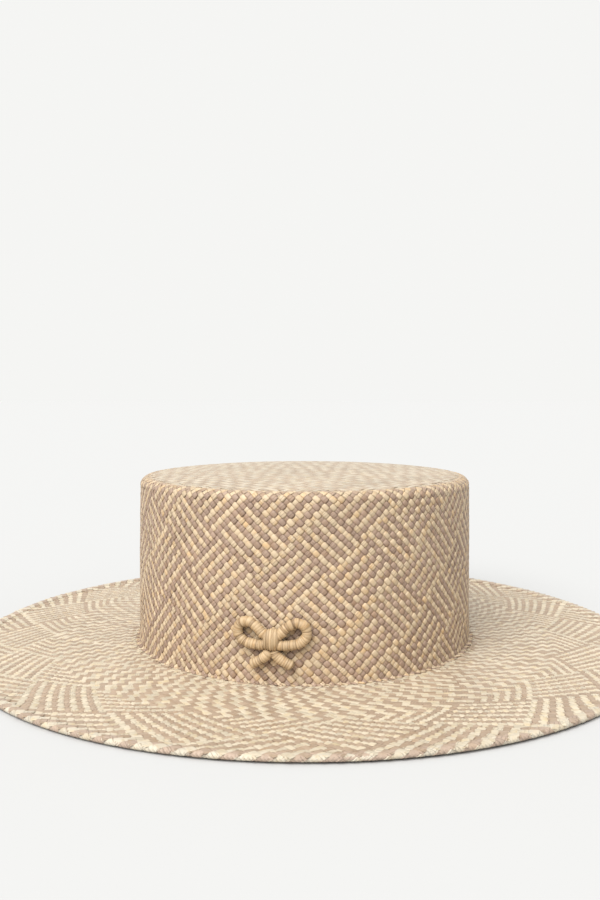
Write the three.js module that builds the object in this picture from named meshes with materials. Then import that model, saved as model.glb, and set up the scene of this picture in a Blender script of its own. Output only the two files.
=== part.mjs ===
// Boater hat: a woven straw crown and flat brim with a turned-back edge, and a small bow of
// wrapped cord on the front. Millimetres, +Z up, front towards -Y. The origin is on the surface
// that the hat rests on, under the middle of the crown.
import * as THREE from 'three';

// Crown, measured on its outer face
const CROWN_HALF_WIDTH = 85;
const CROWN_HALF_LENGTH = 100.3;
const CROWN_HEIGHT = 84.1;
const CROWN_DOME = 3.6;
const CROWN_TAPER = 0.8;
const TOP_EDGE_RADIUS = 4.2;
const STRAW = 2;

// Brim
const BRIM_WIDTH = 83.2;
const BRIM_THICKNESS = 2.2;
const EDGE_WIDTH = 5;
const EDGE_THICKNESS = 3;
const EDGE_ROUND = 1.2;

// Gap between pieces that touch on the real hat
const GAP = 0.3;

// Facets
const SIDES = 80;
const ARC_STEPS = 4;
const CORD_SIDES = 10;
const ARC_WALK = 24;

// Bow of wrapped cord: distances along the front of the wall, to the wearer's left, and upwards
const BOW_ARC = -13.5;
const BOW_HEIGHT = 22;
const CORD = 4.3;
const KNOT_HALF_WIDTH = 3.5;
const KNOT_HALF_HEIGHT = 4.9;
const KNOT_HALF_DEPTH = 2.9;
const LOOP_ROUTE = [
  // along, up
  [4.0, 2.6],
  [6.6, 5.2],
  [10.4, 7.1],
  [13.8, 5.5],
  [14.4, 1.7],
  [11.6, -1.4],
  [7.6, -2.3],
  [4.0, -2.5],
];
const TAIL_ROUTE = [
  // along, up
  [1.9, -6.6],
  [4.6, -8.9],
  [8.9, -11.3],
];
const LOOP_STEPS = 26;
const TAIL_STEPS = 8;

// Finishes
const STRAW_FINISH = { color: 0xc4ab90, roughness: 0.7, metalness: 0 };
const BRIM_FINISH = { color: 0xdccbb3, roughness: 0.7, metalness: 0 };
const EDGE_FINISH = { color: 0xd6c2ac, roughness: 0.65, metalness: 0 };
const RAFFIA_FINISH = { color: 0xdfc498, roughness: 0.6, metalness: 0 };

const hat = new THREE.Group();

function addPiece(name, geometry, finish) {
  const piece = new THREE.Mesh(geometry, new THREE.MeshStandardMaterial(finish));
  piece.name = name;
  hat.add(piece);
  return piece;
}

// A point of the crown's oval at an angle, scaled about the middle and then moved outwards
function ovalPoint(angle, outwards, scale = 1) {
  const across = Math.cos(angle);
  const along = Math.sin(angle);
  const normal = new THREE.Vector2(across / CROWN_HALF_WIDTH, along / CROWN_HALF_LENGTH).normalize();
  return new THREE.Vector2(
    CROWN_HALF_WIDTH * across * scale + normal.x * outwards,
    CROWN_HALF_LENGTH * along * scale + normal.y * outwards,
  );
}

// One ring of a shell: how far outwards of the crown's oval, its height, and its scale
function ring(outwards, height, scale = 1) {
  return { outwards, height, scale };
}

function shellGeometry(positions, faces) {
  const geometry = new THREE.BufferGeometry();
  geometry.setAttribute('position', new THREE.Float32BufferAttribute(positions, 3));
  geometry.setIndex(faces);
  geometry.computeVertexNormals();
  return geometry;
}

function ringPositions(rings) {
  const positions = [];
  for (const { outwards, height, scale } of rings) {
    for (let side = 0; side < SIDES; side += 1) {
      const point = ovalPoint((2 * Math.PI * side) / SIDES, outwards, scale);
      positions.push(point.x, point.y, height);
    }
  }
  return positions;
}

// Two triangles for each side between a ring and the next one
function bandFaces(first, second) {
  const faces = [];
  for (let side = 0; side < SIDES; side += 1) {
    const next = (side + 1) % SIDES;
    const a = first * SIDES + side;
    const b = first * SIDES + next;
    const c = second * SIDES + next;
    const d = second * SIDES + side;
    faces.push(a, d, c, a, c, b);
  }
  return faces;
}

// A shell from a pole at the outer middle, down the outside, up the inside to a pole there
function domedShell(outerPole, rings, innerPole) {
  const positions = ringPositions(rings);
  const faces = [];
  for (let index = 0; index < rings.length - 1; index += 1) {
    faces.push(...bandFaces(index, index + 1));
  }
  const outer = rings.length * SIDES;
  const inner = outer + 1;
  positions.push(0, 0, outerPole, 0, 0, innerPole);
  const last = (rings.length - 1) * SIDES;
  for (let side = 0; side < SIDES; side += 1) {
    const next = (side + 1) % SIDES;
    faces.push(outer, side, next);
    faces.push(inner, last + next, last + side);
  }
  return shellGeometry(positions, faces);
}

// A closed band whose section goes clockwise seen with the outside to the right
function ovalBand(rings) {
  const faces = [];
  for (let index = 0; index < rings.length; index += 1) {
    faces.push(...bandFaces(index, (index + 1) % rings.length));
  }
  return shellGeometry(ringPositions(rings), faces);
}

// Rings of a quarter round, from the top round to the side, about a centre
function quarterRound(outwards, height, radius, steps) {
  const rings = [];
  for (let step = 0; step <= steps; step += 1) {
    const turn = (Math.PI / 2) * (step / steps);
    rings.push(ring(outwards + radius * Math.sin(turn), height + radius * Math.cos(turn)));
  }
  return rings;
}

// The top's height at a share of the way from the middle to where the edge starts to round
function topRings(height, outwards, shares) {
  return shares.map((share) => ring(outwards * share, height + CROWN_DOME * (1 - share * share), share));
}

function crown() {
  const outerRound = quarterRound(
    -CROWN_TAPER - TOP_EDGE_RADIUS,
    CROWN_HEIGHT - TOP_EDGE_RADIUS,
    TOP_EDGE_RADIUS,
    ARC_STEPS,
  );
  const innerRadius = TOP_EDGE_RADIUS - STRAW;
  const innerRound = quarterRound(
    -CROWN_TAPER - TOP_EDGE_RADIUS,
    CROWN_HEIGHT - TOP_EDGE_RADIUS,
    innerRadius,
    ARC_STEPS,
  ).reverse();
  const shares = [0.35, 0.65, 0.86];
  const start = -CROWN_TAPER - TOP_EDGE_RADIUS;
  const foot = BRIM_THICKNESS + GAP;
  const rings = [
    ...topRings(CROWN_HEIGHT, start, shares),
    ...outerRound,
    ring(0, foot),
    ring(-STRAW, foot),
    ...innerRound,
    ...topRings(CROWN_HEIGHT - STRAW, start, shares).reverse(),
  ];
  return domedShell(CROWN_HEIGHT + CROWN_DOME, rings, CROWN_HEIGHT + CROWN_DOME - STRAW);
}

// The brim runs from under the crown's wall to the turned edge
function brim() {
  const outer = BRIM_WIDTH - EDGE_WIDTH - GAP;
  return ovalBand([
    ring(-STRAW, BRIM_THICKNESS),
    ring(outer, BRIM_THICKNESS),
    ring(outer, 0),
    ring(-STRAW, 0),
  ]);
}

function brimEdge() {
  const inner = BRIM_WIDTH - EDGE_WIDTH;
  const outerTop = quarterRound(
    BRIM_WIDTH - EDGE_ROUND,
    EDGE_THICKNESS - EDGE_ROUND,
    EDGE_ROUND,
    ARC_STEPS,
  );
  return ovalBand([
    ring(inner, BRIM_THICKNESS),
    ring(inner + EDGE_ROUND, EDGE_THICKNESS),
    ...outerTop,
    ring(BRIM_WIDTH - EDGE_ROUND / 2, 0),
    ring(inner, 0),
  ]);
}

// The oval's angle at a distance along it from the middle of the front
function frontAngle(arc) {
  let angle = -Math.PI / 2;
  for (let step = 0; step < ARC_WALK; step += 1) {
    const speed = Math.hypot(CROWN_HALF_WIDTH * Math.sin(angle), CROWN_HALF_LENGTH * Math.cos(angle));
    angle += arc / ARC_WALK / speed;
  }
  return angle;
}

// A point in front of the wall: distance along it, height, and distance out from its face
function wallPoint(arc, height, out) {
  const lean = (CROWN_TAPER * height) / (CROWN_HEIGHT - TOP_EDGE_RADIUS);
  const point = ovalPoint(frontAngle(arc), out - lean);
  return new THREE.Vector3(point.x, point.y, height);
}

// A length of round cord that lies on the wall, side +1 or -1 of the knot
function bowCord(route, side, steps) {
  const lift = CORD / 2 + GAP;
  const points = route.map(([along, up]) => wallPoint(BOW_ARC + side * along, BOW_HEIGHT + up, lift));
  const section = new THREE.Shape();
  for (let corner = 0; corner < CORD_SIDES; corner += 1) {
    const turn = (2 * Math.PI * corner) / CORD_SIDES;
    const x = (CORD / 2) * Math.cos(turn);
    const y = (CORD / 2) * Math.sin(turn);
    if (corner === 0) {
      section.moveTo(x, y);
    } else {
      section.lineTo(x, y);
    }
  }
  section.closePath();
  const extrudePath = new THREE.CatmullRomCurve3(points, false, 'centripetal');
  return new THREE.ExtrudeGeometry(section, { steps, extrudePath, bevelEnabled: false });
}

function bowKnot() {
  const geometry = new THREE.SphereGeometry(1, 16, 10);
  return geometry.scale(KNOT_HALF_WIDTH, KNOT_HALF_DEPTH, KNOT_HALF_HEIGHT);
}

addPiece('crown', crown(), STRAW_FINISH);
addPiece('brim', brim(), BRIM_FINISH);
addPiece('brim_edge', brimEdge(), EDGE_FINISH);
for (const [name, side] of [['left', 1], ['right', -1]]) {
  addPiece(`bow_loop_${name}`, bowCord(LOOP_ROUTE, side, LOOP_STEPS), RAFFIA_FINISH);
  addPiece(`bow_tail_${name}`, bowCord(TAIL_ROUTE, side, TAIL_STEPS), RAFFIA_FINISH);
}
const knot = addPiece('bow_knot', bowKnot(), RAFFIA_FINISH);
knot.position.copy(wallPoint(BOW_ARC, BOW_HEIGHT, KNOT_HALF_DEPTH + GAP));
knot.rotation.z = frontAngle(BOW_ARC) + Math.PI / 2;

export default hat;
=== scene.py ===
# Boater hat: every strand of the woven crown and brim is a closed ribbon of its own, and the small
# bow on the front is wrapped with raffia. Lengths are millimetres until a mesh is made.
import math

import bpy
import numpy as np
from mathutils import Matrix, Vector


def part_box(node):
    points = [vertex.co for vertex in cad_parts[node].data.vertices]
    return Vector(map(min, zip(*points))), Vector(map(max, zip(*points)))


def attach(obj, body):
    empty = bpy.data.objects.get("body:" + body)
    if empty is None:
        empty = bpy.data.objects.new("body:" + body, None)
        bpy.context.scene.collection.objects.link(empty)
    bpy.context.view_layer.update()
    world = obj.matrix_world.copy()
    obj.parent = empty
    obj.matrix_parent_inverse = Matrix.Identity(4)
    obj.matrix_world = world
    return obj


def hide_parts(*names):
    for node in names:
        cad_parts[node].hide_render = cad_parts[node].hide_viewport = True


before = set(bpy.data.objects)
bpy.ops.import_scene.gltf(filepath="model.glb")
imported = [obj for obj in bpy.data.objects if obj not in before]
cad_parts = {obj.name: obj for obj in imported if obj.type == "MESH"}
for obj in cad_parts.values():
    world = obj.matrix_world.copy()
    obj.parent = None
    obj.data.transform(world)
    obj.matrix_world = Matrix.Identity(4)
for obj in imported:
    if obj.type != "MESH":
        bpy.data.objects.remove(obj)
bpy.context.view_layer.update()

MM = 0.001
RNG = np.random.default_rng(11)


def far_corner(node):
    """A node's highest corner: half its width, half its length and its top."""
    return np.array(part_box(node)[1]) / MM


# Sizes that come from the frame
HALF_WIDTH, HALF_LENGTH, CROWN_TOP = far_corner("crown")
BRIM_WIDTH = far_corner("brim_edge")[0] - HALF_WIDTH
EDGE_START = far_corner("brim")[0] - HALF_WIDTH

# Shape of the crown, as in the solids
DOME = 3.6
TAPER = 0.8
TOP_RADIUS = 4.2
CROWN_HEIGHT = CROWN_TOP - DOME

# How far a strand keeps its level on each side of a crossing, in crossings
HOLD = 0.28

# Twill, in the brim and the top: strands that lie over, and strands in a cycle
TWILL_OVER = 2
TWILL_CYCLE = 4

# How strands differ: width, how far they stray sideways and how often, and depth of their waves
WIDTH_SPREAD = 0.07
STRAY = 0.07
STRAY_TURNS = (0.9, 0.23)
WAVE_SPREAD = 0.12

# One family leads and the other recedes: how this varies round the oval, and how much it lifts
LEAD_SPREAD = 0.4
LEAD_TURN = 0.083
LEAD_LIFT = 0.7

# Weave of the wall: strands of each way round the oval, height of a row, and section of a strand
WALL_STRANDS = 160
WALL_ROW = 3.33
WALL_THICK = 0.7
WALL_WAVE = 0.3
WALL_PUFF = 0.12
WALL_LEAD = 0.12
# share by which the mauve strands are painted lighter over the top edge, as painted top light
WALL_PAINTED_TOP_LIGHT = 0.3
WALL_DEPTH = 0.75
WALL_FOOT = 0.6
WALL_LAP = 4.0
FOOT_RADIUS = 1.1
FOOT_HEIGHT = 1.98
FOOT_SINK = 0.4

# Slow unevenness of the wall: size, and turn for each millimetre along the oval and upwards
WALL_UNEVEN = [(0.12, 0.043, 0.05), (0.08, 0.11, -0.09)]

# Length past the rounded top edge over which the wall's strands flatten
FLATTEN_PAST = 2

# Weave of the crown's top
TOP_PITCH = 2.4
TOP_THICK = 0.34
TOP_WAVE = 0.1
TOP_DEPTH = 0.5
TOP_LAP = 0.2
TOP_SINK = 0.05
TOP_RUN = 10
TOP_FIRST = (60, 65)
TOP_STRAY = 0.12
TOP_STRAY_TURN = 0.31

# The outermost share of the top, where its strands sink under the ends of the wall's, and how deep
TUCK_FROM = 0.95
TUCK_OVER = 0.05
TUCK_DEPTH = 0.45

# Fewest points of a strand that is long enough to show
FEWEST_POINTS = 3
TOP_FEWEST_POINTS = 4

# Weave of the brim
BRIM_STRANDS = 216
BRIM_PITCHES = [(0, 2.05), (44, 2.1), (54, 2.2), (66, 2.5), (70, 2.6), (73, 3.2), (82, 3.55)]
BRIM_THICK = 0.3
BRIM_WAVE = 0.15
BRIM_PUFF = 0.2
BRIM_MIDDLE = 1.55
BRIM_RISE = 0.33
BRIM_START = -1.6
TWILL_END = 44.0
BRIM_SHEAR = 0.32

# The widest that a strand of the brim may be, as a share of its room along the oval
BRIM_ROOM = 0.93

# Slow unevenness of the brim's outline: size, turn for each millimetre along the oval, and start
BRIM_UNEVEN = [(0.35, 0.031, 0.4), (0.25, 0.083, 0.0)]
BRIM_UNEVEN_MIDDLE = 0.6
BRIM_UNEVEN_SHARE = 0.5
BRIM_UNEVEN_FROM = 60
BRIM_UNEVEN_OVER = 20

# Rise and ripple of the brim, by distance from the crown
BRIM_RISE_FROM = 30
BRIM_RISE_OVER = 50
BRIM_RIPPLE = 0.08
BRIM_RIPPLE_TURN = 0.053

# Turned edge of the brim
RIM_THICK = 0.4
RIM_WAVE = 0.11
RIM_PUFF = 0.08
RIM_MIDDLE = 2.46
RIM_BEND = 0.86
RIM_OFFSETS = (-0.42, -0.25, -0.08, 0.08, 0.25, 0.42)
RIM_THICKER_BEFORE = 3
RIM_THICKER_OVER = 5
RIM_TURNED_BACK = 4.5
RIM_LAP_ROWS = 0.9

# Share of a strand's pitch that it fills, and how wide each colour is beside the mean
FILL = 1.1
WALL_WIDTHS = (1.04, 0.96)
BRIM_WIDTHS = (1.0, 1.0)

# Strands between two changes of phase, in the order in which they go round
WALL_RUNS_RISING = [10] * 2 + [9] * 12 + [8] * 4
WALL_RUNS_FALLING = [9] * 4 + [8] * 4 + [11] * 4 + [10] * 3 + [18]
WALL_FIRST_RISING = -40
WALL_FIRST_FALLING = -10
BRIM_RUNS = [13] * 2 + [14] * 2 + [12] * 3 + [14] * 9
BRIM_FIRST_RISING = -70
BRIM_FIRST_FALLING = -40

# Tucked ends at the foot of the wall: how many, least and most of each measure, and their form
FOOT_ENDS = 260
END_TURN = (25, 55)
END_LENGTH = (2.2, 4.2)
END_START = (0.6, 2.6)
END_HALF_WIDTH = (0.75, 1.15)
END_NARROWING = (0.8, 1, 1, 0.85)
END_THICK = 0.3
END_ABOVE = 0.1
END_ARCH = 0.06
END_LEAN_LIFT = 0.3
END_LEAN_TURN = 0.5
END_CLIMB = 0.9
END_MAUVE_SHARE = 0.35

# Bow of wrapped cord, as in the solids
BOW_ARC = -13.5
BOW_HEIGHT = 22
CORD = 4.3
GAP = 0.3
LOOP_ROUTE = [
    (1.6, 0.9), (4.0, 2.6), (6.6, 5.2), (10.4, 7.1), (13.8, 5.5),
    (14.4, 1.7), (11.6, -1.4), (7.6, -2.3), (4.0, -2.5), (1.8, -1.6),
]
TAIL_ROUTE = [(0.9, -4.6), (1.9, -6.6), (4.6, -8.9), (8.9, -11.3)]
KNOT_HALF = (3.4, 4.7, 2.7)
KNOT_STEPS = 60
KNOT_TAPER = 0.16
KNOT_POWER = 2.5
KNOT_BULGE = 1.12

# Raffia: width of a turn on the cord and on the knot, sides of the tube, and how turns differ
TURN_WIDTH = 1.1
KNOT_TURN_WIDTH = 1.05
CORD_SIDES = 18
KNOT_SIDES = 26
TURN_SPREAD = 0.22
TURN_LEAST = 0.5
TURN_HEIGHT_SPREAD = 0.035
TURN_LEAN = 0.16
TURN_LEAN_START = 0.6

# Ridge of one turn: share of its width, and height beside the cord's radius
TURN_RIDGE = ((0.0, -0.055), (0.2, 0.0), (0.5, 0.03), (0.8, 0.0))

# Rounding of a cord's end: its length, and the square of the smallest share of the radius
CORD_END_ROUND = 0.9
CORD_END_LEAST = 0.12

# Painted shade between two turns: the height where it ends, the height over which it fades, and the most
BETWEEN_TOP = 1.02
BETWEEN_OVER = 0.1
BETWEEN_PAINTED_SHADE = 0.35

# Grain: the most that it is shifted along a strand, and the width and number of the bands that keep
# one strand's grain apart from another's
GRAIN_SHIFT = 400
GRAIN_BAND = 8.0
GRAIN_BANDS = 50

# Noise in the straw, by its scale along and across a strand, its detail and its roughness
PATCH_NOISE = ((0.2, 0.3), 2.0)
FIBRE_NOISE = ((0.25, 4.5), 4.0, 0.62)
SPLIT_NOISE = ((0.12, 0.05), 1.0)

# Straw, as gain and offset: warm patches, shade of a strand, fibres, splits, painted shade in the split
# grooves, and roughness
WARMTH = (4.0, -1.9)
SHADE = (0.2, 0.9)
STREAK = (0.34, 0.83)
GROOVE_EDGE = (2.2, -1.2)
HAS_SPLIT = (9.0, -4.4)
GROOVE_PAINTED_SHADE = (-0.36, 1.0)
STRAW_ROUGHNESS = (0.2, 0.4)

# Straw: turns of the grooves across a strand, depth of a groove, spread of the painted shade in a dip,
# gloss and relief
GROOVE_TURN = 9.4
GROOVE_DEPTH = 0.8
DIP_POWER = 1.6
STRAW_SPECULAR = 0.3
RELIEF_STRENGTH = 0.3
RELIEF_DEPTH = 0.12

# Studio: floor, sky and sun
FLOOR_HALF = 30.0
FLOOR_COLOUR = (0.4868, 0.4906, 0.4936, 1)
SKY_COLOUR = (0.914, 0.914, 0.898, 1)
SUN_COLOUR = (1.0, 0.985, 0.96)
SUN_ENERGY = 4.1
SUN_WIDTH = 50
SUN_TURN = (42, 0, -26)

# Camera, from the photograph's outline
CAMERA_AT = (0.0, -496.9, 123.1)
CAMERA_PITCH = 3.12
CAMERA_PAN = 0.264
CAMERA_LENS = 38.19


# The crown's oval

def oval_arc_table(steps=8000):
    turn = np.linspace(-math.pi / 2, 1.5 * math.pi, steps + 1)
    speed = np.hypot(HALF_WIDTH * np.sin(turn), HALF_LENGTH * np.cos(turn))
    arc = np.concatenate([[0.0], np.cumsum((speed[1:] + speed[:-1]) / 2 * np.diff(turn))])
    return turn, arc


OVAL_TURN, OVAL_ARC = oval_arc_table()
OVAL_LENGTH = OVAL_ARC[-1]


def oval(arc, out):
    """Point, outward normal and curvature at a distance along the oval from the middle of the front."""
    turn = np.interp(np.mod(arc, OVAL_LENGTH), OVAL_ARC, OVAL_TURN)
    x, y = HALF_WIDTH * np.cos(turn), HALF_LENGTH * np.sin(turn)
    nx, ny = np.cos(turn) / HALF_WIDTH, np.sin(turn) / HALF_LENGTH
    size = np.hypot(nx, ny)
    nx, ny = nx / size, ny / size
    speed = np.hypot(HALF_WIDTH * np.sin(turn), HALF_LENGTH * np.cos(turn))
    curvature = HALF_WIDTH * HALF_LENGTH / speed**3
    return x + nx * out, y + ny * out, nx, ny, curvature


def dome_height(x, y):
    """Height of the crown's top above its edge."""
    inset = TAPER + TOP_RADIUS
    share = (x / (HALF_WIDTH - inset)) ** 2 + (y / (HALF_LENGTH - inset)) ** 2
    return DOME * (1 - share)


# Surfaces that the weaves follow: each gives points, normals and the pitch along the oval

def wall_surface(arc, rise, depth):
    """The wall, its rounded top edge and the start of the top, by length from the foot."""
    straight = CROWN_HEIGHT - TOP_RADIUS - WALL_FOOT
    radius = TOP_RADIUS - depth
    bend = radius * math.pi / 2
    angle = np.clip((rise - straight) / radius, 0, math.pi / 2)
    past = np.maximum(rise - straight - bend, 0)
    height = WALL_FOOT + np.minimum(rise, straight)
    lean = TAPER * height / (CROWN_HEIGHT - TOP_RADIUS)
    uneven = sum(size * np.sin(arc * along + height * up) for size, along, up in WALL_UNEVEN)
    # the foot turns outwards onto the brim
    turned = np.clip((FOOT_HEIGHT + FOOT_RADIUS - height) / FOOT_RADIUS, 0, None)
    lying = np.maximum(turned - math.pi / 2, 0) * FOOT_RADIUS
    turned = np.minimum(turned, math.pi / 2)
    flare = FOOT_RADIUS * (1 - np.cos(turned)) + lying
    foot = FOOT_HEIGHT + FOOT_RADIUS * (1 - np.sin(turned)) - FOOT_SINK * lying
    height = np.where(turned > 0, foot, height)
    out = -lean - TOP_RADIUS + radius * np.cos(angle) - past + uneven + flare
    x, y, nx, ny, curvature = oval(arc, out)
    z = height + radius * np.sin(angle)
    z = z + np.where(past > 0, dome_height(x, y) - TOP_SINK * past, 0)
    point = np.stack([x, y, z], -1)
    facing = np.cos(angle) * np.cos(turned)
    normal = np.stack([nx * facing, ny * facing, np.sin(angle) + np.sin(turned)], -1)
    return point, normal, 1 + out * curvature


def ease(value):
    value = np.clip(value, 0, 1)
    return value * value * (3 - 2 * value)


def brim_pitch(out):
    """Width of a strand by distance from the crown; the strands spread where the edge is turned."""
    places, pitches = zip(*BRIM_PITCHES)
    return np.interp(out, places, pitches)


def brim_row(out):
    """Height of a row of the brim's weave, outwards, by distance from the crown."""
    along = (OVAL_LENGTH + 2 * math.pi * np.minimum(out, BRIM_WIDTH)) / BRIM_STRANDS
    pitch = np.minimum(brim_pitch(out), along * BRIM_ROOM)
    return pitch * along / np.sqrt(along**2 - pitch**2)


def brim_row_table(steps=2000, before=2, after=14):
    """Rows of the brim's weave by distance from the crown."""
    out = np.linspace(BRIM_START - before, BRIM_WIDTH + after, steps + 1)
    row = brim_row(out)
    rows = np.concatenate([[0.0], np.cumsum(np.diff(out) / ((row[1:] + row[:-1]) / 2))])
    return out, rows - np.interp(0.0, out, rows)


BRIM_OUT, BRIM_ROWS = brim_row_table()


def brim_surface(arc, out):
    """The flat brim, turned down and back under itself at the edge."""
    flat_end = BRIM_WIDTH - RIM_WAVE - RIM_THICK / 2 - RIM_BEND
    angle = np.clip((out - flat_end) / RIM_BEND, 0, math.pi)
    past = np.maximum(out - flat_end - math.pi * RIM_BEND, 0)
    uneven = sum(size * np.sin(arc * turn + start) for size, turn, start in BRIM_UNEVEN)
    uneven = (uneven - BRIM_UNEVEN_MIDDLE) * ease((out - BRIM_UNEVEN_FROM) / BRIM_UNEVEN_OVER)
    reach = np.minimum(out, flat_end) + RIM_BEND * np.sin(angle) - past + uneven * BRIM_UNEVEN_SHARE
    x, y, nx, ny, curvature = oval(arc, reach)
    thicker = ease((out - EDGE_START + RIM_THICKER_BEFORE) / RIM_THICKER_OVER)
    # the brim rests on its sides and lifts a little at the front and the back
    wavy = BRIM_RISE * np.cos(4 * math.pi * arc / OVAL_LENGTH)
    wavy = wavy + BRIM_RIPPLE * np.sin(arc * BRIM_RIPPLE_TURN)
    wavy = wavy * ease((out - BRIM_RISE_FROM) / BRIM_RISE_OVER)
    middle = BRIM_MIDDLE + (RIM_MIDDLE - BRIM_MIDDLE) * thicker + wavy
    z = middle - RIM_BEND * (1 - np.cos(angle))
    point = np.stack([x, y, z], -1)
    normal = np.stack([nx * np.sin(angle), ny * np.sin(angle), np.cos(angle)], -1)
    return point, normal, 1 + reach * curvature


def no_slant(v):
    return np.zeros_like(v)


# Strands

# Sections of a strand: place across, in half widths, and height, in half thicknesses
SECTION_ROUND = [(-1.0, -0.1), (-0.58, 0.8), (0.58, 0.8), (1.0, -0.1), (0.0, -0.9)]
SECTION_FLAT = [(-1.0, -0.5), (-0.84, 0.8), (0.84, 0.8), (1.0, -0.5)]
SECTION_WIDE = [
    (-1.0, -0.5), (-0.88, 0.8), (-0.45, 0.85), (0.0, 0.9), (0.45, 0.85), (0.88, 0.8), (1.0, -0.5),
]
SHARP = math.radians(24)


def path_length(points):
    """Distance along a path at each of its points."""
    return np.concatenate([[0.0], np.cumsum(np.linalg.norm(np.diff(points, axis=0), axis=1))])


def path_directions(centre, normal):
    """Forward, sideways and up at each point of a path that lies on a surface."""
    forward = np.gradient(centre, axis=0)
    forward /= np.linalg.norm(forward, axis=1)[:, None]
    side = np.cross(normal, forward)
    side /= np.linalg.norm(side, axis=1)[:, None]
    return forward, side, np.cross(forward, side)


class StrandMesh:
    """Collects ribbons and makes them one mesh."""

    def __init__(self):
        self.points = []
        self.faces = []
        self.tones = []
        self.grain = []
        self.count = 0

    def add(self, centre, normal, half_width, lift, thick, tone, level, section):
        """One ribbon along centre, raised by lift, with a closed section and closed ends."""
        steps = len(centre)
        centre = centre + normal * lift[:, None]
        _, side, up = path_directions(centre, normal)
        across = np.array([a for a, _ in section])
        height = np.array([h for _, h in section]) / 2
        thick = np.broadcast_to(thick, steps)
        ring = (
            centre[:, None, :]
            + side[:, None, :] * (half_width[:, None] * across)[:, :, None]
            + up[:, None, :] * (thick[:, None] * height)[:, :, None]
        )
        self.add_rings(ring, tone, level, path_length(centre)[:, None], across[None, :])

    def add_rings(self, ring, tone, level, length, across):
        """One ribbon from its rings of points, with a face across each end."""
        steps, sides = ring.shape[:2]
        start = self.count
        self.points.append(ring.reshape(-1, 3))
        first = start + np.arange(steps - 1)[:, None] * sides + np.arange(sides)[None, :]
        second = start + np.arange(steps - 1)[:, None] * sides + (np.arange(sides)[None, :] + 1) % sides
        quads = np.stack([first, second, second + sides, first + sides], -1).reshape(-1, 4)
        self.faces.extend(quads.tolist())
        self.faces.append([start + k for k in reversed(range(sides))])
        last = start + (steps - 1) * sides
        self.faces.append([last + k for k in range(sides)])
        mauve, shade, seed = (np.reshape(value, (-1, 1)) for value in tone)
        colour = np.empty((steps, sides, 4))
        colour[..., 0] = mauve
        colour[..., 1] = shade
        # the third channel sets where the painted dip shade falls
        colour[..., 2] = level[:, None]
        colour[..., 3] = seed
        self.tones.append(colour.reshape(-1, 4))
        uv = np.empty((steps, sides, 2))
        uv[..., 0] = length + seed * GRAIN_SHIFT
        uv[..., 1] = across + GRAIN_BAND * np.floor(shade * GRAIN_BANDS)
        self.grain.append(uv.reshape(-1, 2))
        self.count += steps * sides

    def build(self, name, material, flat=False):
        """The mesh as one object, with each point's tone and each corner's place in the grain."""
        points = np.concatenate(self.points) * MM
        mesh = bpy.data.meshes.new(name)
        mesh.from_pydata(points.tolist(), [], self.faces)
        mesh.polygons.foreach_set("use_smooth", np.ones(len(mesh.polygons), bool))
        strand = mesh.attributes.new("strand", "FLOAT_COLOR", "POINT")
        strand.data.foreach_set("color", np.concatenate(self.tones).astype(np.float32).ravel())
        corner = np.empty(len(mesh.loops), np.int32)
        mesh.loops.foreach_get("vertex_index", corner)
        layer = mesh.uv_layers.new(name="grain")
        layer.data.foreach_set("uv", np.concatenate(self.grain)[corner].astype(np.float32).ravel())
        mesh.materials.append(material)
        mesh.update()
        if flat:
            mesh.set_sharp_from_angle(angle=SHARP)
        piece = bpy.data.objects.new(name, mesh)
        bpy.context.scene.collection.objects.link(piece)
        return piece


def strand_colours(count, runs, first):
    """Cream (0) and mauve (1) by turns, with two alike side by side at each change of phase."""
    mauve = np.zeros(count, int)
    changes = set()
    place = first
    for run in runs:
        changes.add(place % count)
        place += run
    value = 0
    for k in range(count):
        index = (first + k) % count
        if k > 0 and index not in changes:
            value = 1 - value
        mauve[index] = value
    return mauve


def strand_family(mauve, widths):
    """Colour, middle and width of each strand, in strands; widths are for cream and for mauve."""
    spread = 1 + WIDTH_SPREAD * RNG.standard_normal(len(mauve))
    width = np.where(mauve == 1, widths[1], widths[0]) * spread
    width *= len(mauve) / width.sum()
    return mauve, np.cumsum(width) - width / 2, width


def strand_tone(mauve):
    """How mauve a strand is, its shade and its seed."""
    return (float(mauve), RNG.random(), RNG.random())


def level_samples(over, hold):
    """Where along a strand, in crossings, its level changes, and the level there: +1 over, -1 under."""
    changes = over[1:] != over[:-1]
    before = np.concatenate([[True], changes])
    after = np.concatenate([changes, [True]])
    step = np.arange(len(over))
    places = np.concatenate([step[before] - hold, step[after] + hold])
    levels = np.concatenate([over[before], over[after]])
    order = np.argsort(places)
    return places[order], levels[order].astype(float)


def even_samples(over, offsets):
    """The same number of places at every crossing."""
    places = (np.arange(len(over))[:, None] + np.array(offsets)[None, :]).ravel()
    return places, np.repeat(over, len(offsets)).astype(float)


def draped_rings(surface, arc, v, stretch, row, slope, slant, half_width, lift, thick, section):
    """Sections of a strand whose whole width lies on the surface, for a tight fold."""
    long = np.hypot(1, slope)
    rings = []
    for across, height in section:
        sideways = across * half_width / long
        outwards = -across * half_width * slope / long
        shifted = arc + sideways / stretch - slant * outwards
        point, normal, _ = surface(shifted, v + outwards / row)
        rings.append(point + normal * (lift + thick * height / 2)[:, None])
    return np.stack(rings, 1)


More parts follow.
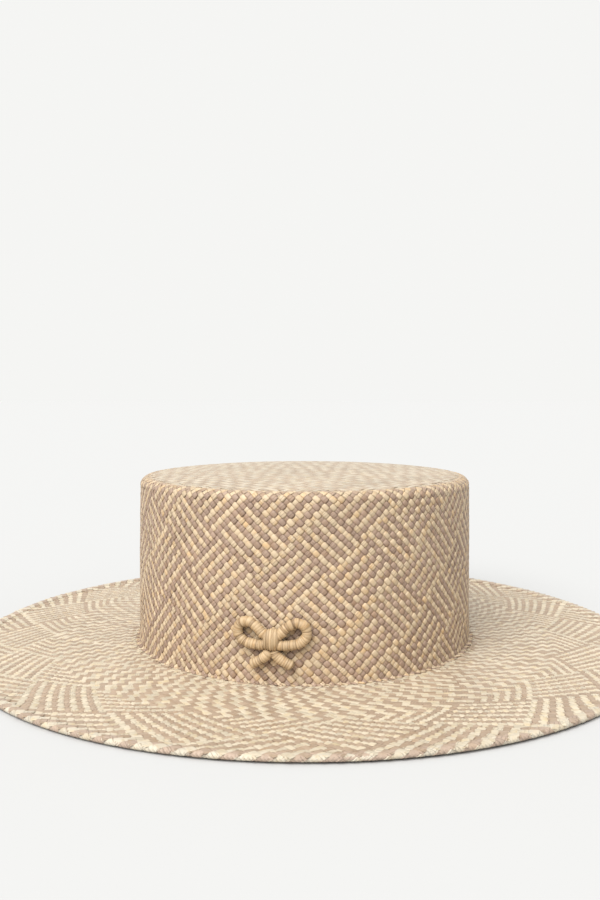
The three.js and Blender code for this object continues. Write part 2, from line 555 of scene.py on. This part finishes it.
def bias_weave(mesh, way, family, other, rows, over_rule, surface, arc_pitch, row_pitch, body,
               slant=no_slant, offsets=None, painted_top_light=None):
    """One family of strands that climb round an oval; way is +1 for rising to the right.

    body gives a strand's thickness, wave, puff, lead and section by row, and paler gives by row the
    painted top light: how much lighter its mauve is painted and how much of its painted dip shade
    is left out. With offsets, the strand has the same places at every crossing and drapes.
    """
    mauve, places, widths = family
    count = len(places)
    reach = np.arange(int(math.floor(2 * rows[0])), int(math.ceil(2 * rows[1])) + 1)
    for index in range(count):
        crossed = index + way * reach
        there = other[1][np.mod(crossed, count)] + np.floor_divide(crossed, count) * count
        centre_u = (places[index] + there) / 2
        centre_v = way * (there - places[index]) / 2
        rising, falling = (index, crossed) if way > 0 else (crossed, index)
        over = np.where(over_rule(rising, falling), way, -way)
        if offsets is None:
            step, level = level_samples(over, HOLD)
        else:
            step, level = even_samples(over, offsets)
        u = np.interp(step, np.arange(len(reach)), centre_u)
        v = np.interp(step, np.arange(len(reach)), centre_v)
        keep = (v >= rows[0]) & (v <= rows[1])
        if keep.sum() < FEWEST_POINTS:
            continue
        u, v, level = u[keep], v[keep], level[keep]
        u = u + STRAY * np.sin(v * STRAY_TURNS[0] + index) * np.sin(v * STRAY_TURNS[1] + 2 * index)
        point, normal, stretch = surface(u * arc_pitch, v)
        along = arc_pitch * stretch
        row = row_pitch(v)
        slope = way * along / row + slant(v) * stretch
        pitch = along / np.hypot(1, slope)
        thick, wave, puff, lead, section = body(v)
        first = way * lead * (1 + LEAD_SPREAD * np.sin(LEAD_TURN * u * arc_pitch + v))
        half_width = 0.5 * FILL * pitch * widths[index] * (1 + puff * level + first)
        lift = level * wave * (1 + WAVE_SPREAD * RNG.standard_normal(len(level))) + LEAD_LIFT * first
        tone = strand_tone(mauve[index])
        # where the painted dip shade falls: none over or under, most half way between
        shown = (1 - level) / 2
        # painted top light: the mauve is painted lighter and the painted dip shade is left out
        if painted_top_light is not None:
            tone = (tone[0] * (1 - WALL_PAINTED_TOP_LIGHT * painted_top_light(v)), tone[1], tone[2])
            shown = shown * (1 - painted_top_light(v))
        if offsets is None:
            mesh.add(point, normal, half_width, lift, thick, tone, shown, section)
            continue
        rings = draped_rings(surface, u * arc_pitch, v, stretch, row, slope, slant(v), half_width,
                             lift, thick, section)
        across = np.array([[a for a, _ in section]])
        mesh.add_rings(rings, tone, shown, path_length(point)[:, None], across)


# Materials

def principled(name):
    material = bpy.data.materials.new(name)
    material.use_nodes = True
    return material, material.node_tree.nodes, material.node_tree.links


def add_node(nodes, kind, **values):
    node = nodes.new(kind)
    for key, value in values.items():
        setattr(node, key, value)
    return node


def feed(links, socket, value):
    if isinstance(value, bpy.types.NodeSocket):
        links.new(value, socket)
    elif isinstance(value, tuple):
        socket.default_value = (*value, 1.0)
    else:
        socket.default_value = value


def mix_colour(nodes, links, factor, first, second, blend="MIX"):
    node = add_node(nodes, "ShaderNodeMix", data_type="RGBA", blend_type=blend)
    feed(links, node.inputs[0], factor)
    feed(links, node.inputs[6], first)
    feed(links, node.inputs[7], second)
    return node.outputs[2]


def calc(nodes, links, operation, *values, clamp=False):
    node = add_node(nodes, "ShaderNodeMath", operation=operation, use_clamp=clamp)
    for socket, value in zip(node.inputs, values):
        feed(links, socket, value)
    return node.outputs[0]


def grey(nodes, links, value):
    node = add_node(nodes, "ShaderNodeCombineColor")
    for socket in node.inputs[:3]:
        links.new(value, socket)
    return node.outputs[0]


def noise(nodes, links, vector, scale, detail, roughness=0.5):
    """Noise stretched by a scale along and across a strand."""
    mapping = add_node(nodes, "ShaderNodeMapping")
    mapping.inputs["Scale"].default_value = (scale[0], scale[1], 1.0)
    links.new(vector, mapping.inputs[0])
    texture = add_node(nodes, "ShaderNodeTexNoise")
    texture.inputs["Scale"].default_value = 1.0
    texture.inputs["Detail"].default_value = detail
    texture.inputs["Roughness"].default_value = roughness
    links.new(mapping.outputs[0], texture.inputs["Vector"])
    return texture.outputs[0]


def linear(red, green, blue):
    """A screen colour, 0 to 255, as the linear colour that shaders take."""
    return tuple(
        (c / 255 / 12.92) if c / 255 <= 0.04045 else ((c / 255 + 0.055) / 1.055) ** 2.4
        for c in (red, green, blue)
    )


def strand_marks(nodes, links):
    """How mauve a strand is, its shade and its level, its grain, and where across it a point is."""
    strand = add_node(nodes, "ShaderNodeAttribute", attribute_name="strand")
    split = add_node(nodes, "ShaderNodeSeparateColor")
    links.new(strand.outputs["Color"], split.inputs[0])
    is_mauve, shade, level = split.outputs[:3]
    grain = add_node(nodes, "ShaderNodeUVMap", uv_map="grain").outputs[0]
    place = add_node(nodes, "ShaderNodeSeparateXYZ")
    links.new(grain, place.inputs[0])
    # from -1 to 1, whichever band the strand's grain lies in
    across = calc(nodes, links, "ADD", place.outputs[1], GRAIN_BAND / 2)
    across = calc(nodes, links, "FLOORED_MODULO", across, GRAIN_BAND)
    across = calc(nodes, links, "SUBTRACT", across, GRAIN_BAND / 2)
    return is_mauve, shade, level, grain, across


def uneven_dye(nodes, links, is_mauve, grain, cream, amber, mauve, dusk):
    """Dye that varies along a strand, between cream and amber or between mauve and dusk."""
    patch = noise(nodes, links, grain, *PATCH_NOISE)
    warm = calc(nodes, links, "MULTIPLY_ADD", patch, *WARMTH, clamp=True)
    creams = mix_colour(nodes, links, warm, cream, amber)
    mauves = mix_colour(nodes, links, warm, mauve, dusk)
    return mix_colour(nodes, links, is_mauve, creams, mauves)


def split_grooves(nodes, links, grain, across):
    """Grooves where a strand has split along its length."""
    splits = noise(nodes, links, grain, *SPLIT_NOISE)
    groove = calc(nodes, links, "COSINE", calc(nodes, links, "MULTIPLY", across, GROOVE_TURN))
    groove = calc(nodes, links, "MULTIPLY_ADD", groove, *GROOVE_EDGE, clamp=True)
    has_split = calc(nodes, links, "MULTIPLY_ADD", splits, *HAS_SPLIT, clamp=True)
    return calc(nodes, links, "MULTIPLY", groove, has_split)


def strand_tint(nodes, links, shade, fibre, groove):
    """Shade of the whole strand, darker in its fibres, with painted shade in its split grooves."""
    tint = calc(nodes, links, "MULTIPLY_ADD", shade, *SHADE)
    streak = calc(nodes, links, "MULTIPLY_ADD", fibre, *STREAK)
    tint = calc(nodes, links, "MULTIPLY", tint, streak)
    # painted shade in the split grooves
    return calc(nodes, links, "MULTIPLY", tint, calc(nodes, links, "MULTIPLY_ADD", groove, *GROOVE_PAINTED_SHADE))


def painted_dip_shade(nodes, links, level, deep):
    """Painted shade on a strand where it dips between two others, half way from over to under."""
    dip = calc(nodes, links, "MULTIPLY_ADD", level, 2.0, -1.0)
    dip = calc(nodes, links, "ABSOLUTE", dip)
    dip = calc(nodes, links, "SUBTRACT", 1.0, dip)
    dip = calc(nodes, links, "POWER", dip, DIP_POWER)
    return calc(nodes, links, "MULTIPLY", dip, deep, clamp=True)


def straw_relief(nodes, links, fibre, groove):
    height = calc(nodes, links, "SUBTRACT", fibre, calc(nodes, links, "MULTIPLY", groove, GROOVE_DEPTH))
    bump = add_node(nodes, "ShaderNodeBump")
    bump.inputs["Strength"].default_value = RELIEF_STRENGTH
    bump.inputs["Distance"].default_value = RELIEF_DEPTH * MM
    links.new(height, bump.inputs["Height"])
    return bump.outputs[0]


def straw_material(name, cream, amber, mauve, dusk, painted_crevice_shade, deep):
    """Flat palm strand: lengthwise fibres, splits, uneven dye, and painted shade in the hollows where it
    dips.
    """
    material, nodes, links = principled(name)
    shader = nodes["Principled BSDF"]
    is_mauve, shade, level, grain, across = strand_marks(nodes, links)
    fibre = noise(nodes, links, grain, *FIBRE_NOISE)
    groove = split_grooves(nodes, links, grain, across)
    colour = uneven_dye(nodes, links, is_mauve, grain, cream, amber, mauve, dusk)
    tint = strand_tint(nodes, links, shade, fibre, groove)
    colour = mix_colour(nodes, links, 1.0, colour, grey(nodes, links, tint), "MULTIPLY")
    # painted shade, in the hollow colour, where the strand dips between crossing strands
    dip = painted_dip_shade(nodes, links, level, deep)
    colour = mix_colour(nodes, links, dip, colour, painted_crevice_shade, "MULTIPLY")
    links.new(colour, shader.inputs["Base Color"])
    roughness = calc(nodes, links, "MULTIPLY_ADD", fibre, *STRAW_ROUGHNESS)
    links.new(roughness, shader.inputs["Roughness"])
    shader.inputs["Specular IOR Level"].default_value = STRAW_SPECULAR
    links.new(straw_relief(nodes, links, fibre, groove), shader.inputs["Normal"])
    return material


# Each straw: cream, amber, mauve and dusk dye, then the colour and the strength of the painted shade in
# the hollows where strands dip
CROWN_STRAW = straw_material(
    "crown_straw", linear(188, 169, 142), linear(186, 157, 119), linear(152, 130, 114),
    linear(147, 121, 99), linear(122, 90, 72), 0.6,
)
# The top's straw: its mauve and dusk are painted lighter than the wall's, as painted top light, and its
# painted hollow shade is weaker
TOP_STRAW_PAINTED_LIGHT = straw_material(
    "top_straw_painted_light", linear(180, 169, 152), linear(176, 159, 132), linear(166, 150, 132),
    linear(160, 141, 119), linear(160, 134, 112), 0.3,
)
BRIM_STRAW = straw_material(
    "brim_straw", linear(190, 179, 159), linear(187, 170, 139), linear(161, 142, 123),
    linear(154, 132, 109), linear(120, 84, 62), 0.6,
)
EDGE_STRAW = straw_material(
    "edge_straw", linear(187, 178, 161), linear(184, 169, 143), linear(164, 145, 129),
    linear(159, 139, 120), linear(110, 80, 66), 0.5,
)
# the raffia's last colour and strength are the painted shade between its turns
RAFFIA = straw_material(
    "raffia", linear(184, 160, 127), linear(164, 133, 94), linear(184, 160, 127),
    linear(164, 133, 94), linear(92, 56, 30), 0.95,
)


# The crown's wall

def plain_over(rising, falling):
    """Over and under by turns."""
    return np.mod(falling - rising, 2) == 0


def crown_wall():
    """Two families of round strands that cross on the slant, from the brim over the top edge."""
    rising = strand_colours(WALL_STRANDS, WALL_RUNS_RISING, WALL_FIRST_RISING)
    rising = strand_family(rising, WALL_WIDTHS)
    falling = 1 - strand_colours(WALL_STRANDS, WALL_RUNS_FALLING, WALL_FIRST_FALLING)
    falling = strand_family(falling, WALL_WIDTHS)
    straight = CROWN_HEIGHT - TOP_RADIUS - WALL_FOOT
    bend = (TOP_RADIUS - WALL_DEPTH) * math.pi / 2
    rows = (0.0, (straight + bend + WALL_LAP) / WALL_ROW)

    def surface(arc, v):
        return wall_surface(arc, v * WALL_ROW, WALL_DEPTH)

    def row_pitch(v):
        return np.full_like(v, WALL_ROW)

    def body(v):
        # the strands flatten as they turn over the top edge
        share = ease((v * WALL_ROW - straight) / (bend + FLATTEN_PAST))
        thick = WALL_THICK + (TOP_THICK - WALL_THICK) * share
        wave = WALL_WAVE + (TOP_WAVE - WALL_WAVE) * share
        return thick, wave, WALL_PUFF, WALL_LEAD * (1 - share), SECTION_ROUND

    def painted_top_light(v):
        # painted top light: the mauve strands are painted lighter where they turn over the top edge, and
        # lose their painted dip shade
        return ease((v * WALL_ROW - straight) / bend)

    pieces = []
    for name, way, family, other in (
        ("crown_wall_rising", 1, rising, falling),
        ("crown_wall_falling", -1, falling, rising),
    ):
        mesh = StrandMesh()
        bias_weave(mesh, way, family, other, rows, plain_over, surface, OVAL_LENGTH / WALL_STRANDS,
                   row_pitch, body, painted_top_light=painted_top_light)
        pieces.append(mesh.build(name, CROWN_STRAW))
    return pieces


# The crown's top

def crown_top():
    """A flat weave of straight strands, clipped to the oval and tucked under the wall's ends."""
    inset = TAPER + TOP_RADIUS + TOP_LAP
    half_x, half_y = HALF_WIDTH - inset, HALF_LENGTH - inset
    reach = math.hypot(half_x, half_y) / math.sqrt(2)
    half_count = int(reach / TOP_PITCH) + 1
    index = np.arange(-half_count, half_count)
    families = []
    for family in range(2):
        blocks = np.floor_divide(index + TOP_FIRST[family], TOP_RUN)
        mauve, middle, width = strand_family(np.mod(index + blocks, 2), WALL_WIDTHS)
        families.append((mauve, (middle - len(index) / 2) * TOP_PITCH, width))
    mesh = StrandMesh()
    for family in range(2):
        mauve, place, width = families[family]
        other = families[1 - family][1]
        for k in range(len(index)):
            over = np.where(np.mod(index + index[k], TWILL_CYCLE) < TWILL_OVER, 1, -1)
            if family == 1:
                over = -over
            step, level = level_samples(over, HOLD)
            along = np.interp(step, np.arange(len(other)), other)
            fixed = place[k] + TOP_STRAY * np.sin(along * TOP_STRAY_TURN + k)
            p, q = (along, fixed) if family == 0 else (fixed, along)
            x, y = (p - q) / math.sqrt(2), (p + q) / math.sqrt(2)
            share = np.sqrt((x / half_x) ** 2 + (y / half_y) ** 2)
            keep = share <= 1
            if keep.sum() < TOP_FEWEST_POINTS:
                continue
            x, y, level, share = x[keep], y[keep], level[keep], share[keep]
            sink = np.clip((share - TUCK_FROM) / TUCK_OVER, 0, 1) ** 2 * TUCK_DEPTH
            z = CROWN_HEIGHT + dome_height(x, y) - TOP_DEPTH - sink
            point = np.stack([x, y, z], -1)
            normal = np.tile([0.0, 0.0, 1.0], (len(x), 1))
            half_width = np.full(len(x), 0.5 * FILL * TOP_PITCH * width[k])
            # (1 - level) / 2 sets where the painted dip shade falls
            mesh.add(point, normal, half_width, level * TOP_WAVE, TOP_THICK, strand_tone(mauve[k]),
                     (1 - level) / 2, SECTION_FLAT)
    return mesh.build("crown_top_weave", TOP_STRAW_PAINTED_LIGHT, flat=True)


# The brim and its turned edge

def brim():
    """Two families of flat strands from under the wall, turned back and widened at the edge."""
    rising = strand_family(strand_colours(BRIM_STRANDS, BRIM_RUNS, BRIM_FIRST_RISING), BRIM_WIDTHS)
    falling = strand_family(strand_colours(BRIM_STRANDS, BRIM_RUNS, BRIM_FIRST_FALLING), BRIM_WIDTHS)
    arc_pitch = OVAL_LENGTH / BRIM_STRANDS
    twill_rows = float(np.interp(TWILL_END, BRIM_OUT, BRIM_ROWS))

    def distance(v):
        return np.interp(v, BRIM_ROWS, BRIM_OUT)

    def surface(arc, v):
        out = distance(v)
        return brim_surface(arc + BRIM_SHEAR * np.clip(out, 0, TWILL_END), out)

    def row_pitch(v):
        return brim_row(distance(v))

    def slant(v):
        return np.where((distance(v) > 0) & (distance(v) < TWILL_END), BRIM_SHEAR, 0.0)

    def body(v):
        return BRIM_THICK, BRIM_WAVE, BRIM_PUFF, 0.0, SECTION_FLAT

    def rim_body(v):
        return RIM_THICK, RIM_WAVE, RIM_PUFF, 0.0, SECTION_WIDE

    def over_rule(rising_index, falling_index):
        twill = np.mod(falling_index - rising_index, TWILL_CYCLE) < TWILL_OVER
        plain = np.mod(falling_index - rising_index, 2) == 0
        return np.where((falling_index - rising_index) / 2 < twill_rows, twill, plain)

    seam = float(np.interp(EDGE_START, BRIM_OUT, BRIM_ROWS))
    low = float(np.interp(BRIM_START, BRIM_OUT, BRIM_ROWS))
    high = float(np.interp(BRIM_WIDTH + RIM_TURNED_BACK, BRIM_OUT, BRIM_ROWS))
    pieces = []
    rim = StrandMesh()
    for name, way, family, other in (("rising", 1, rising, falling), ("falling", -1, falling, rising)):
        mesh = StrandMesh()
        bias_weave(mesh, way, family, other, (low, seam + RIM_LAP_ROWS), over_rule, surface, arc_pitch,
                   row_pitch, body, slant)
        pieces.append(mesh.build(f"brim_{name}", BRIM_STRAW, flat=True))
        bias_weave(rim, way, family, other, (seam, high), over_rule, surface, arc_pitch, row_pitch,
                   rim_body, slant, RIM_OFFSETS)
    return pieces, rim.build("brim_edge_weave", EDGE_STRAW, flat=True)


def foot_ends():
    """Short ends of strands, tucked in all round where the wall meets the brim."""
    mesh = StrandMesh()
    base = BRIM_MIDDLE + BRIM_WAVE + BRIM_THICK / 2
    for _ in range(FOOT_ENDS):
        arc = OVAL_LENGTH * RNG.random()
        way = RNG.choice([-1, 1])
        turn = math.radians(RNG.uniform(*END_TURN))
        size = RNG.uniform(*END_LENGTH)
        start = RNG.uniform(*END_START)
        share = np.linspace(0, 1, len(END_NARROWING))
        out = start + share * size * math.sin(turn)
        x, y, nx, ny, _ = oval(arc + way * share * size * math.cos(turn), out)
        lean = np.clip((FOOT_RADIUS - out) / FOOT_RADIUS, 0, 1)
        climb = FOOT_RADIUS * (1 - np.sqrt(1 - END_CLIMB * lean**2))
        z = base + END_LEAN_LIFT * lean + climb + END_ABOVE + END_ARCH * np.sin(share * math.pi)
        point = np.stack([x, y, z], -1)
        normal = np.stack([nx * lean, ny * lean, 1 - END_LEAN_TURN * lean], -1)
        normal /= np.linalg.norm(normal, axis=1)[:, None]
        half_width = RNG.uniform(*END_HALF_WIDTH) * np.array(END_NARROWING)
        mauve = int(RNG.random() < END_MAUVE_SHARE)
        level = np.zeros_like(share)
        mesh.add(point, normal, half_width, level, END_THICK, strand_tone(mauve), level, SECTION_FLAT)
    return mesh.build("foot_ends", BRIM_STRAW, flat=True)


# The bow

def blend(place, low, high, first, second):
    """From first, at low, to second, at high."""
    return (high - place) / (high - low) * first + (place - low) / (high - low) * second


def smooth_path(route, step=0.05, steps=40):
    """A centripetal curve through the route, as points at even distances."""
    points = np.array(route, float)
    points = np.vstack([2 * points[0] - points[1], points, 2 * points[-1] - points[-2]])
    curve = []
    for k in range(1, len(points) - 2):
        p = points[k - 1:k + 3]
        knots = np.concatenate([[0.0], np.cumsum(np.linalg.norm(np.diff(p, axis=0), axis=1) ** 0.5)])
        t = np.linspace(knots[1], knots[2], steps, endpoint=False)[:, None]
        a = [blend(t, knots[i], knots[i + 1], p[i], p[i + 1]) for i in range(3)]
        b = [blend(t, knots[i], knots[i + 2], a[i], a[i + 1]) for i in range(2)]
        curve.append(blend(t, knots[1], knots[2], b[0], b[1]))
    curve = np.vstack(curve + [points[-2][None, :]])
    length = path_length(curve)
    places = np.arange(0, length[-1], step)
    return np.stack([np.interp(places, length, curve[:, k]) for k in range(curve.shape[1])], -1)


def wall_point(arc, height, out):
    """Points in front of the wall, and its normals there."""
    lean = TAPER * height / (CROWN_HEIGHT - TOP_RADIUS)
    x, y, nx, ny, _ = oval(arc, out - lean)
    return np.stack([x, y, height], -1), np.stack([nx, ny, np.zeros_like(nx)], -1)


def raffia_turns(total, pitch):
    """Place, height, place across the turn, shade and seed of each ring of a wound length."""
    edges = [0.0]
    while edges[-1] < total:
        edges.append(edges[-1] + pitch * max(1 + TURN_SPREAD * RNG.standard_normal(), TURN_LEAST))
    rings = []
    for k in range(len(edges) - 1):
        width = edges[k + 1] - edges[k]
        high = 1 + TURN_HEIGHT_SPREAD * RNG.standard_normal()
        shade, seed = RNG.random(), RNG.random()
        for share, rise in TURN_RIDGE:
            place = edges[k] + share * width
            if place < total:
                rings.append((place, high + rise, 2 * share - 1, shade, seed))
    return np.array(rings).T


def wound_tube(mesh, path, radius, normals, pitch=TURN_WIDTH, sides=CORD_SIDES, flat=1.0):
    """Turns of raffia round a cord: each turn is a ridge that leans and bulges a little of its own."""
    length = path_length(path)
    total = length[-1]
    places, bulge, across, shade, seed = raffia_turns(total, pitch)
    centre = np.stack([np.interp(places, length, path[:, i]) for i in range(3)], -1)
    normal = np.stack([np.interp(places, length, normals[:, i]) for i in range(3)], -1)
    forward, side, up = path_directions(centre, normal)
    turn = np.linspace(0, 2 * math.pi, sides, endpoint=False)
    lean = TURN_LEAN * np.sin(turn + TURN_LEAN_START)
    end = np.sqrt(np.clip(np.minimum(places, total - places) / CORD_END_ROUND, CORD_END_LEAST, 1))
    size = np.broadcast_to(radius(places / total), len(places)) * bulge * end
    ring = (
        centre[:, None, :]
        + side[:, None, :] * (size[:, None] * np.cos(turn))[:, :, None]
        + up[:, None, :] * (size[:, None] * flat * np.sin(turn))[:, :, None]
        + forward[:, None, :] * np.broadcast_to(lean, (len(places), sides))[:, :, None]
    )
    # painted shade in the hollows between two turns of raffia
    deep = np.clip((BETWEEN_TOP - bulge) / BETWEEN_OVER, 0, 1) * BETWEEN_PAINTED_SHADE
    around = np.linspace(-1, 1, sides)[None, :] * math.pi * size[:, None]
    mesh.add_rings(ring, (0.0, shade, seed), deep, around, across[:, None])


def bow():
    """Two loops, two ends and a knot of cord, wound with raffia."""
    pieces = []
    lift = CORD / 2 + GAP

    def cord(name, route, side):
        flat_route = smooth_path(route)
        point, normal = wall_point(BOW_ARC + side * flat_route[:, 0], BOW_HEIGHT + flat_route[:, 1], lift)
        mesh = StrandMesh()
        wound_tube(mesh, point, lambda share: CORD / 2, normal)
        return mesh.build(name, RAFFIA)

    for name, side in (("left", 1), ("right", -1)):
        pieces.append((cord(f"raffia_loop_{name}", LOOP_ROUTE, side), f"bow_loop_{name}"))
        pieces.append((cord(f"raffia_tail_{name}", TAIL_ROUTE, side), f"bow_tail_{name}"))
    along = np.linspace(-KNOT_HALF[0], KNOT_HALF[0], KNOT_STEPS)
    point, normal = wall_point(BOW_ARC + along, np.full_like(along, BOW_HEIGHT), KNOT_HALF[2] + GAP)
    mesh = StrandMesh()

    def barrel(share):
        return KNOT_HALF[1] * (1 - KNOT_TAPER * np.abs(2 * share - 1) ** KNOT_POWER)

    flat = KNOT_HALF[2] / KNOT_HALF[1] * KNOT_BULGE
    wound_tube(mesh, point, barrel, normal, KNOT_TURN_WIDTH, KNOT_SIDES, flat)
    pieces.append((mesh.build("raffia_knot", RAFFIA), "bow_knot"))
    return pieces


# Stage, light and camera

def floor():
    mesh = bpy.data.meshes.new("floor")
    signs = ((-1, -1), (1, -1), (1, 1), (-1, 1))
    mesh.from_pydata([(x * FLOOR_HALF, y * FLOOR_HALF, 0) for x, y in signs], [], [(0, 1, 2, 3)])
    material, nodes, _ = principled("floor_white")
    shader = nodes["Principled BSDF"]
    shader.inputs["Base Color"].default_value = FLOOR_COLOUR
    shader.inputs["Roughness"].default_value = 1.0
    shader.inputs["Specular IOR Level"].default_value = 0.0
    mesh.materials.append(material)
    plane = bpy.data.objects.new("floor", mesh)
    bpy.context.scene.collection.objects.link(plane)


def lights():
    world = bpy.data.worlds.new("studio")
    bpy.context.scene.world = world
    world.use_nodes = True
    sky = world.node_tree.nodes["Background"]
    sky.inputs["Color"].default_value = SKY_COLOUR
    sky.inputs["Strength"].default_value = 1.0
    sun = bpy.data.lights.new("key", "SUN")
    sun.energy = SUN_ENERGY
    sun.angle = math.radians(SUN_WIDTH)
    sun.color = SUN_COLOUR
    key = bpy.data.objects.new("key", sun)
    bpy.context.scene.collection.objects.link(key)
    key.rotation_euler = [math.radians(turn) for turn in SUN_TURN]


def camera():
    data = bpy.data.cameras.new("camera")
    data.lens = CAMERA_LENS
    data.sensor_width = 36
    data.clip_start = 0.01
    data.clip_end = 100
    eye = bpy.data.objects.new("camera", data)
    bpy.context.scene.collection.objects.link(eye)
    eye.location = [c * MM for c in CAMERA_AT]
    eye.rotation_euler = (math.radians(90 - CAMERA_PITCH), 0, math.radians(CAMERA_PAN))
    bpy.context.scene.camera = eye


def hand_over(piece, node):
    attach(piece, "root")
    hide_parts(node)


camera()
lights()
floor()
bpy.context.scene.view_settings.view_transform = "Standard"

for piece in crown_wall():
    hand_over(piece, "crown")
hand_over(crown_top(), "crown")
brim_pieces, rim_piece = brim()
for piece in brim_pieces:
    hand_over(piece, "brim")
hand_over(rim_piece, "brim_edge")
hand_over(foot_ends(), "brim")
for piece, node in bow():
    hand_over(piece, node)
